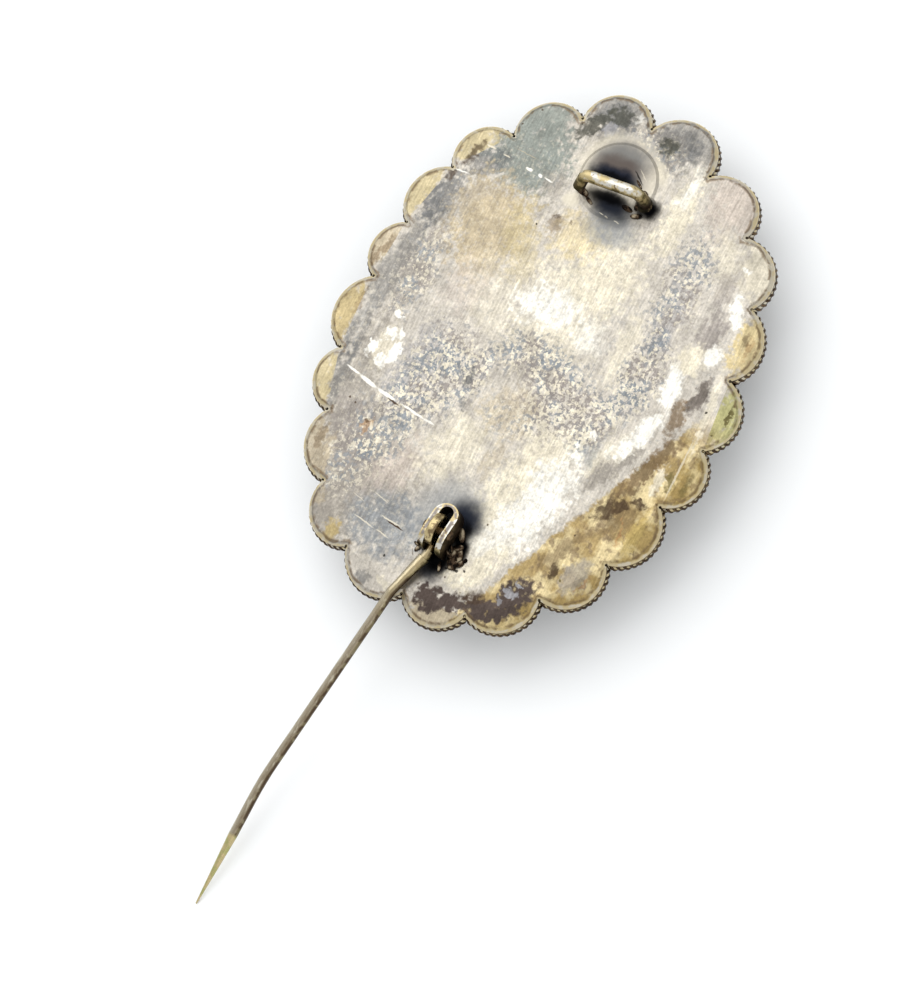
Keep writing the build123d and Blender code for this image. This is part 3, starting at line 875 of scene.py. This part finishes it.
# Warps of the plate: lumps to the millimetre and reach, in one or two steps
GENTLE_WARP = ((0.3, 1.5), (1.1, 0.7))
RAGGED_WARP = ((0.6, 0.7), (2.4, 0.5))
SOOT_AND_SHADOW_WARP = (0.8, 0.5)
SCRATCH_WARP = (2.5, 0.12)

# The grit that breaks up the spots' edges, and the strength and softness of the specks
GRIT_LUMPS = 1.7
GRIT_REACH = 1.2
SPECK_LOOK = (0.85, 0.5)

# How much wider than its scallop a scallop's own colour is, and how softly it ends
LOBE_SPREAD = 1.15
LOBE_SOFTNESS = 0.45

# Brush lines slant in a spot near the hinge, by a turn in degrees
SLANTING_SPOT = (-20, 4, 9, 11, 0, 1.0, 0.6)
SLANTING_TURN = -70
BRUSH_SHADES = (0.86, 1.14)
GRAIN_SHADES = (0.84, 1.16)

# Brightness of the metal's colour, from tarnished to clean
CLEAN_BRIGHTNESS = (0.05, 0.6)


def lobe_spot(index):
    """Where a scallop's own colour lies: its middle, half sizes and turn."""
    start, end = corner(index), corner(index + 1)
    half = (end - start).length / 2
    rise = SCALLOP_RISE * SCALLOPS[index][2]
    outward = Vector((start.y - end.y, end.x - start.x)).normalized()
    middle = (start + end).to_2d() / 2 + outward * rise / 2
    return middle.x, middle.y, rise, half * LOBE_SPREAD, degrees(atan2(outward.y, outward.x))


class BroochSilverSettings(bpy.types.PropertyGroup):
    """The worn silver of the mount."""

    roughness: bpy.props.FloatProperty(
        name="Roughness",
        description="Roughness of the clean brushed metal",
        default=0.34,
        subtype="FACTOR",
    )
    stain_roughness: bpy.props.FloatProperty(
        name="Stain roughness",
        description="Roughness of the tarnish",
        default=0.5,
        subtype="FACTOR",
    )
    brush_depth: bpy.props.FloatProperty(
        name="Brush depth",
        description="Depth of the brush lines in millimetres",
        default=0.012,
    )
    speckle: bpy.props.FloatProperty(
        name="Mottling",
        description="How strongly the mottled tarnish shows",
        default=0.95,
        subtype="FACTOR",
    )


class BROOCH_OT_silver(bpy.types.Operator):
    """Tarnishes, brushes and scratches the silver of the mount, and paints light and shade on it"""

    bl_idname = "brooch.silver"
    bl_label = "Silver"

    def execute(self, context):
        dress("silver_mount", silver_finish(context.scene.brooch_silver))
        return {"FINISHED"}


def silver_finish(settings):
    """The mount's finish: charted stains on its back, with painted reflections, highlights and shadows
    among them, and brown recesses on its front.
    """
    paint = Painter("tarnished_and_shaded_silver", "pearl")
    gentle = paint.warp(paint.plan, *GENTLE_WARP)
    ragged = paint.warp(paint.plan, *RAGGED_WARP)
    grit = paint.scatter(paint.noise(paint.plan, GRIT_LUMPS, 8.0), GRIT_REACH)
    paint.lay_spots(gentle, TARNISH_AND_SHEEN_CLOUDS, grit)
    lay_mottling(paint, gentle, settings)
    lay_lobes(paint, gentle, grit)
    lay_brassy_side(paint, ragged)
    paint.lay_spots(ragged, PATCHES, grit)
    grain = lay_brush_lines(paint)
    paint.lay_spots(paint.warp(paint.plan, SOOT_AND_SHADOW_WARP), SOOT_AND_SHADOW)
    fine = paint.warp(paint.plan, SCRATCH_WARP)
    paint.lay_spots(fine, SCRATCHES)
    for colour, x, y, radius in SPECKS:
        paint.lay(colour, paint.spot(fine, x, y, radius, radius, 0, *SPECK_LOOK))
    lay_rim(paint)
    lay_fittings(paint)
    lay_front(paint)
    clean = paint.node("ShaderNodeRGBToBW", {0: paint.colour})
    rough = paint.spread(clean, *CLEAN_BRIGHTNESS, settings.stain_roughness, settings.roughness)
    relief = paint.math("MULTIPLY", grain, settings.brush_depth)
    return paint.finish(1.0, rough, relief)


def lay_mottling(paint, where, settings):
    """Blue-grey tarnish in small ragged blotches, with pale flecks between them."""
    thick = 0.0
    for numbers in MOTTLED:
        thick = paint.math("ADD", paint.spot(where, *numbers), thick)
    thick = paint.math("MINIMUM", thick, 1.0)
    strength = paint.math("MULTIPLY_ADD", thick, 0.72, 0.26)
    blotches = paint.noise(paint.plan, 2.0, 9.0)
    level = paint.math("MULTIPLY_ADD", thick, -0.09, 0.56)
    over = paint.fade(paint.math("SUBTRACT", blotches, level), -0.02, 0.05, settings.speckle)
    hue = paint.fade(paint.noise(paint.plan, 0.35, 3.0), 0.42, 0.58)
    tarnish = paint.blend(hue, rgba("mauve"), rgba("blue"))
    paint.lay(tarnish, paint.math("MULTIPLY", over, strength))
    flecks = paint.noise(paint.vector("ADD", paint.plan, (40, 0, 0)), 2.6, 9.0)
    level = paint.math("MULTIPLY_ADD", thick, -0.04, 0.57)
    pale = paint.fade(paint.math("SUBTRACT", flecks, level), -0.01, 0.05, 0.9)
    paint.lay("cream", paint.math("MULTIPLY", pale, strength))


def lay_lobes(paint, where, grit):
    """Each scallop's own colour. On some it starts sharply where the plate is bent, a painted shade
    edge of the bend as well as a change of tone.
    """
    plate = paint.colour
    for sharp in (True, False):
        for index, (colour, strength, is_sharp) in enumerate(LOBE_COLOURS):
            if is_sharp == sharp:
                spot = paint.spot(where, *lobe_spot(index), strength, LOBE_SOFTNESS, grit)
                paint.lay(colour, spot)
        if sharp:
            # Painted shade edge of the bend: the sharp scallops' colours are cut off where the metal
            # turns
            bent = paint.fade(paint.facing, *BENT_FACING)
            paint.colour = paint.blend(bent, plate, paint.colour)


def lay_brassy_side(paint, where):
    """The brassy metal beyond a straight border at the lower left."""
    x, y, turn = BRASSY_BORDER
    below = paint.fade(paint.distance(where, x, y, turn + 90), *BRASSY_SOFTNESS)
    near = paint.fade(paint.distance(where, x, y, turn), *BRASSY_END)
    mask = paint.math("MULTIPLY", below, near)
    tint = paint.noise(paint.plan, 0.5, 8.0)
    metal = paint.blend(paint.fade(tint, 0.42, 0.58), rgba("ochre"), rgba("pale_gold"))
    dirt = paint.noise(paint.plan, 1.1, 9.0)
    metal = paint.blend(paint.fade(dirt, 0.55, 0.64, 0.6), metal, rgba("umber"))
    paint.lay(metal, paint.math("MULTIPLY", mask, BRASSY_STRENGTH))


def lay_brush_lines(paint):
    """Brush lines along the plate, slanting near the hinge, and a fine grain over all."""
    along = paint.noise(paint.turned(paint.plan, 0, (0.25, 5, 1)), 1.0, 4.0)
    slanting = paint.noise(paint.turned(paint.plan, SLANTING_TURN, (0.3, 5, 1)), 1.0, 4.0)
    by_hinge = paint.spot(paint.plan, *SLANTING_SPOT)
    lines = paint.node("ShaderNodeMix", {0: by_hinge, 2: along, 3: slanting})
    paint.shade(lines, *BRUSH_SHADES)
    paint.shade(paint.noise(paint.plan, 4.5, 6.0), *GRAIN_SHADES)
    paint.shade(paint.noise(paint.plan, 0.7, 8.0), *GRAIN_SHADES)
    return lines


def edge_depth(paint):
    """How far inside the plate's scalloped edge a place lies, in millimetres, near that edge."""
    farther_than_any = OVAL_LENGTH
    in_lobes, in_middle = -farther_than_any, farther_than_any
    for index in range(len(SCALLOPS)):
        place, radius, centre, _ = scallop_place(index)
        middle = place @ Vector((0, centre * MM, 0)) / MM
        outward = place.col[1].to_2d().normalized()
        chord = (corner(index) + corner(index + 1)).to_2d() / 2
        away = paint.node(
            "ShaderNodeVectorMath",
            {0: paint.plan, 1: (middle.x, middle.y, 1)},
            "Value",
            operation="DISTANCE",
        )
        in_lobes = paint.math("MAXIMUM", in_lobes, paint.math("SUBTRACT", radius, away))
        turn = degrees(atan2(outward.y, outward.x))
        behind = paint.distance(paint.plan, chord.x, chord.y, turn + 180)
        in_middle = paint.math("MINIMUM", in_middle, behind)
    return paint.math("MAXIMUM", in_lobes, in_middle)


def lay_rim(paint):
    """The filed edge of the scallops: a bright line along it, filed metal with a painted highlight on
    it, a painted shade line inside it, and the black wire under the twisted rope, oxide with painted
    shade under the rope."""
    outside = paint.fade(paint.facing, 0.3, 0.6)
    on_plate = paint.math("MULTIPLY", outside, paint.fade(paint.height, *PLATE_HEIGHT))
    sway = paint.scatter(paint.noise(paint.plan, 0.7, 5.0), RIM_SWAY)
    depth = paint.math("ADD", edge_depth(paint), sway)
    past_rim = paint.fade(depth, *GROOVE_OUTSIDE)
    groove = paint.math("MULTIPLY", past_rim, paint.fade(depth, *GROOVE_INSIDE))
    rim_patches = paint.fade(paint.noise(paint.solid, 1.2, 6.0), 0.4, 0.55, 0.75)
    # Painted shade: a patchy umber line in the groove inside the rim
    paint.lay("umber", paint.math("MULTIPLY", paint.math("MULTIPLY", groove, rim_patches), on_plate))
    # Painted highlight on the filed rim: a bright cream line along the edge
    bright = paint.math("MULTIPLY", paint.fade(depth, *BRIGHT_LINE, 0.95), on_plate)
    paint.lay(paint.blend(rim_patches, rgba("cream"), rgba("pale_gold")), bright)
    # The wire under the rope goes black: oxide, and painted shade under the rope
    paint.lay("black", paint.fade(paint.height, *ROPE_CORE_HEIGHT))


def lay_fittings(paint):
    """The bracket and the hook: creamy on top, where they are rubbed and carry a painted highlight,
    olive in the dirt, and black low down by the plate, dirt with painted shadow.
    """
    raised = paint.fade(paint.height, *FITTING_HEIGHT)
    dirt = paint.noise(paint.solid, 1.1, 6.0)
    metal = paint.blend(paint.fade(dirt, 0.42, 0.58), rgba("pale_gold"), rgba("olive"))
    # Painted shadow with dirt: black low down near the plate
    low = paint.fade(paint.height, *DIRTY_AND_SHADED_HEIGHT, 0.95)
    metal = paint.blend(low, metal, rgba("black"))
    # Painted highlight with rubbing: creamy on the faces that look up
    on_top = paint.fade(paint.facing, 0.45, 0.8)
    rubbed = paint.math("MULTIPLY", on_top, paint.fade(paint.height, *RUBBED_AND_LIT_HEIGHT))
    polish_and_highlight = paint.blend(paint.fade(dirt, 0.54, 0.44), rgba("pale_gold"), rgba("white"))
    metal = paint.blend(rubbed, metal, polish_and_highlight)
    worn_flat = paint.math("MULTIPLY", strip_middle(paint), paint.fade(paint.facing, 0.9, 0.97))
    metal = paint.blend(worn_flat, metal, rgba("mauve"))
    pits = paint.fade(paint.noise(paint.solid, 2.6, 4.0), 0.58, 0.66, 0.85)
    metal = paint.blend(pits, metal, rgba("umber"))
    paint.lay(metal, raised)


def strip_middle(paint):
    """A mask of the middle of the bracket's strip, between its two worn edges."""
    x, y, turn = BRACKET_PLACE
    back = paint.math("MAXIMUM", paint.distance(paint.plan, x, y, turn), 0.0)
    across = paint.distance(paint.plan, x, y, turn + 90)
    square = paint.math("MULTIPLY_ADD", back, back, paint.math("MULTIPLY", across, across))
    reach = paint.math("SQRT", square)
    inside = paint.fade(paint.math("SUBTRACT", BRACKET_REACH, reach), *WORN_OUTSIDE)
    outside = paint.fade(paint.math("SUBTRACT", reach, BRACKET_SLOT), *WORN_INSIDE)
    streaks = paint.fade(paint.noise(paint.solid, 1.4, 5.0), 0.36, 0.5)
    return paint.math("MULTIPLY", paint.math("MULTIPLY", inside, outside), streaks)


def lay_front(paint):
    """The front, which faces down: brown in the recesses and rubbed bright on top."""
    front = paint.fade(paint.facing, 0.1, -0.1)
    high = paint.fade(paint.height, *FRONT_HEIGHT)
    level = paint.fade(paint.facing, -0.5, -0.92)
    rubbed = paint.math("MULTIPLY", high, level)
    uneven = paint.fade(paint.noise(paint.solid, 0.9, 4.0), 0.25, 0.6)
    rubbed = paint.math("MULTIPLY", rubbed, uneven)
    metal = paint.blend(rubbed, rgba("brown"), rgba("tan"))
    paint.lay(metal, front)


# Depths of the reliefs in millimetres, the roughness of dirty metal, and the stone's glaze
SOLDER_RELIEF = 0.06
WIRE_RELIEF = 0.02
STONE_RELIEF = 0.05
DIRTY_ROUGHNESS = 0.45
GLAZE_WEIGHT = 0.4
GLAZE_ROUGHNESS = 0.12


class BROOCH_OT_solder(bpy.types.Operator):
    """Leaves the crumbs of solder by the hinge and the catch"""

    bl_idname = "brooch.solder"
    bl_label = "Solder"

    def execute(self, context):
        for name, rows in (("solder_by_hinge", HINGE_SOLDER), ("solder_by_catch", CATCH_SOLDER)):
            crumbs = solder_crumbs(name, rows)
            crumbs.data.materials.append(solder_finish(name))
            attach(crumbs, "brooch")
        return {"FINISHED"}


# Crumbs of solder, in millimetres: the middle, the half length, half width and half height,
# and the turn on the plate and the lean upwards in degrees
HINGE_SOLDER = [
    (-21.3, -2.15, 8.25, 0.9, 0.45, 0.45, 8, 0),
    (-21.9, -2.5, 8.15, 0.7, 0.45, 0.35, -30, 0),
    (-20.9, -2.7, 8.1, 0.9, 0.35, 0.25, 20, 0),
    (-20.6, -1.85, 8.6, 0.7, 0.22, 0.5, 30, 30),
    (-21.2, -1.85, 8.8, 0.5, 0.18, 0.5, 60, 50),
    (-20.2, -2.25, 8.3, 0.3, 0.5, 0.25, 35, 20),
    (-21.5, -3.1, 8.15, 0.45, 0.3, 0.24, -30, 0),
    (-22.2, -2.6, 8.15, 0.4, 0.25, 0.26, 80, 0),
    (-21.0, -3.45, 8.1, 0.24, 0.18, 0.14, 0, 0),
    (-22.6, -1.3, 8.1, 0.9, 0.3, 0.16, 15, 0),
    (-18.9, -2.0, 8.2, 0.9, 0.4, 0.3, 25, 0),
    (-21.75, 1.1, 10.3, 0.3, 0.14, 0.3, 70, 20),
    (-21.6, 1.5, 8.15, 0.9, 0.3, 0.22, -20, 0),
    (-20.4, 1.7, 8.15, 0.9, 0.3, 0.2, -5, 0),
]
CATCH_SOLDER = [
    (20.1, -2.95, 8.35, 0.5, 0.4, 0.4, 30, 0),
    (18.2, 3.3, 8.2, 0.7, 0.3, 0.24, 70, 0),
    (17.5, 2.1, 8.15, 0.7, 0.25, 0.2, 60, 0),
    (18.2, -1.9, 8.16, 0.7, 0.3, 0.2, 80, 0),
    (17.8, -3.1, 8.12, 0.6, 0.26, 0.18, 110, 0),
    (18.7, -2.8, 8.2, 0.4, 0.3, 0.3, 0, 0),
    (19.3, 3.8, 8.16, 0.5, 0.22, 0.18, 20, 0),
    (21.0, -1.9, 8.14, 0.7, 0.16, 0.14, 52, 0),
]
CRUMB_ROUGHNESS = 0.9
CRUMB_LUMPS = 2.2
CRUMB_EDGE_ANGLE = 50


def solder_crumbs(name, rows):
    """Ragged little lumps, joined into one piece."""
    deselect_all()
    crumbs = []
    for x, y, z, long, wide, high, turn, lean in rows:
        bpy.ops.mesh.primitive_ico_sphere_add(
            subdivisions=3,
            radius=1,
            location=(x * MM, y * MM, z * MM),
            rotation=(0, radians(-lean), radians(turn)),
            scale=(long * MM, wide * MM, high * MM),
        )
        crumb = bpy.context.object
        seed = Vector((x, y, z))
        for vertex in crumb.data.vertices:
            swell = noise.noise(vertex.co * CRUMB_LUMPS + seed)
            vertex.co *= 1 + CRUMB_ROUGHNESS * swell
        crumbs.append(crumb)
    for crumb in crumbs:
        crumb.select_set(True)
    bpy.context.view_layer.objects.active = crumbs[0]
    bpy.ops.object.join()
    joined = bpy.context.object
    joined.name = name
    bpy.ops.object.transform_apply(location=True, rotation=True, scale=True)
    bpy.ops.object.shade_smooth_by_angle(angle=radians(CRUMB_EDGE_ANGLE))
    return joined


def solder_finish(name):
    """Dirty solder, dull and pitted, tan where it faces up, a little rubbing with a painted highlight.
    """
    paint = Painter(f"{name}_finish", "brown")
    dirt = paint.noise(paint.solid, 1.6, 6.0)
    paint.lay("black", paint.fade(dirt, 0.5, 0.6, 0.9))
    # Painted highlight with a little rubbing: tan on the faces that look up
    on_top = paint.fade(paint.facing, 0.5, 0.95, 0.8)
    paint.lay("tan", paint.math("MULTIPLY", on_top, paint.fade(dirt, 0.5, 0.38)))
    return paint.finish(1.0, DIRTY_ROUGHNESS, paint.math("MULTIPLY", dirt, SOLDER_RELIEF))


# Stretches of the pin along X, from where a finish starts to where it is whole
NEAR_HINGE = (-31, -24)
BARE_POINT = (-54.9, -55.4)
IN_EYE = (-21.9, -21.5)


class BROOCH_OT_small_parts(bpy.types.Operator):
    """Gives the pin, the rivet and the stone their finishes"""

    bl_idname = "brooch.small_parts"
    bl_label = "Pin, rivet and stone"

    def execute(self, context):
        dress("pin", pin_finish())
        dress("hinge_rivet", rivet_finish())
        dress("scarab_stone", glaze_finish())
        return {"FINISHED"}


def pin_finish():
    """Plated wire gone grey and brown, creamy where rubbed, with a painted highlight in cream along the
    side towards the key lamp and painted shade in olive and brown along the other side, and bare and
    yellow at the point.
    """
    paint = Painter("worn_pin", "pewter")
    paint.lay("ochre", 0.35)
    streaks = paint.noise(paint.turned(paint.solid, -12, (0.35, 3.2, 3.2)), 1.0, 6.0)
    paint.lay("umber", paint.fade(streaks, 0.5, 0.64, 0.6))
    paint.lay("cream", paint.fade(streaks, 0.46, 0.34, 0.7))
    along = paint.part(paint.solid, "X")
    paint.lay("pale_gold", paint.fade(along, *NEAR_HINGE, 0.6))
    # Painted light and shade: cream along the side towards the key lamp, olive and brown along the
    # other side
    side = paint.part(paint.normal, "Y")
    paint.lay("cream", paint.fade(side, -0.2, 0.5, 0.4))
    paint.lay("olive", paint.fade(side, -0.35, -0.8, 0.7))
    blotches = paint.noise(paint.solid, 1.0, 6.0)
    low = paint.math("MULTIPLY", paint.fade(side, -0.3, -0.75), paint.fade(blotches, 0.42, 0.52, 0.9))
    paint.lay("brown", low)
    ground = paint.fade(paint.noise(paint.solid, 1.2, 5.0), 0.4, 0.6)
    bare = paint.blend(ground, rgba("lime"), rgba("pale_gold"))
    paint.lay(bare, paint.fade(along, *BARE_POINT, 0.95))
    stains = paint.fade(paint.noise(paint.solid, 1.7, 6.0), 0.46, 0.57, 0.85)
    stained = paint.blend(stains, rgba("pale_gold"), rgba("umber"))
    paint.lay(stained, paint.fade(along, *IN_EYE))
    rough = paint.fade(streaks, 0.2, 0.9, 0.6)
    return paint.finish(1.0, rough, paint.math("MULTIPLY", streaks, WIRE_RELIEF))


def rivet_finish():
    """Dark worn wire."""
    paint = Painter("dark_rivet", "umber")
    dirt = paint.noise(paint.solid, 1.8, 4.0)
    paint.lay("brown", paint.fade(dirt, 0.4, 0.6))
    return paint.finish(1.0, DIRTY_ROUGHNESS, paint.math("MULTIPLY", dirt, WIRE_RELIEF))


def glaze_finish():
    """Blue-green glazed stone, clouded darker and paler, with a few brown specks."""
    paint = Painter("glazed_stone", "sea_glaze")
    clouds = paint.noise(paint.solid, 0.25, 5.0)
    paint.lay("deep_glaze", paint.fade(clouds, 0.45, 0.75, 0.7))
    paint.lay("pale_glaze", paint.fade(clouds, 0.42, 0.2, 0.7))
    specks = paint.noise(paint.solid, 2.4, 3.0)
    paint.lay("umber", paint.fade(specks, 0.66, 0.72, 0.6))
    paint.shader.inputs["Coat Weight"].default_value = GLAZE_WEIGHT
    paint.shader.inputs["Coat Roughness"].default_value = GLAZE_ROUGHNESS
    rough = paint.fade(specks, 0.2, 0.9, 0.6)
    return paint.finish(0.0, rough, paint.math("MULTIPLY", specks, STONE_RELIEF))


class BROOCH_PT_sidebar(bpy.types.Panel):
    """Lists the operators and their settings"""

    bl_label = "Scarab Brooch"
    bl_idname = "BROOCH_PT_sidebar"
    bl_space_type = "VIEW_3D"
    bl_region_type = "UI"
    bl_category = "Brooch"

    def draw(self, context):
        layout = self.layout
        for operator in OPERATORS:
            layout.operator(operator.bl_idname)
        scene = context.scene
        for settings in (scene.brooch_stage, scene.brooch_rope, scene.brooch_silver):
            box = layout.box()
            for key in settings.bl_rna.properties.keys():
                if key not in ("rna_type", "name"):
                    box.prop(settings, key)


OPERATORS = (
    BROOCH_OT_stage,
    BROOCH_OT_rope_edge,
    BROOCH_OT_silver,
    BROOCH_OT_solder,
    BROOCH_OT_small_parts,
)
SETTINGS = (BroochStageSettings, BroochRopeSettings, BroochSilverSettings)
CLASSES = (*SETTINGS, *OPERATORS, BROOCH_PT_sidebar)


def register():
    for new_class in CLASSES:
        bpy.utils.register_class(new_class)
    bpy.types.Scene.brooch_stage = bpy.props.PointerProperty(type=BroochStageSettings)
    bpy.types.Scene.brooch_rope = bpy.props.PointerProperty(type=BroochRopeSettings)
    bpy.types.Scene.brooch_silver = bpy.props.PointerProperty(type=BroochSilverSettings)


def unregister():
    del bpy.types.Scene.brooch_silver
    del bpy.types.Scene.brooch_rope
    del bpy.types.Scene.brooch_stage
    for old_class in reversed(CLASSES):
        bpy.utils.unregister_class(old_class)


def main():
    """Registers the add-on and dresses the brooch."""
    register()
    bpy.ops.brooch.stage()
    bpy.ops.brooch.rope_edge()
    bpy.ops.brooch.silver()
    bpy.ops.brooch.solder()
    bpy.ops.brooch.small_parts()


if __name__ == "__main__":
    main()
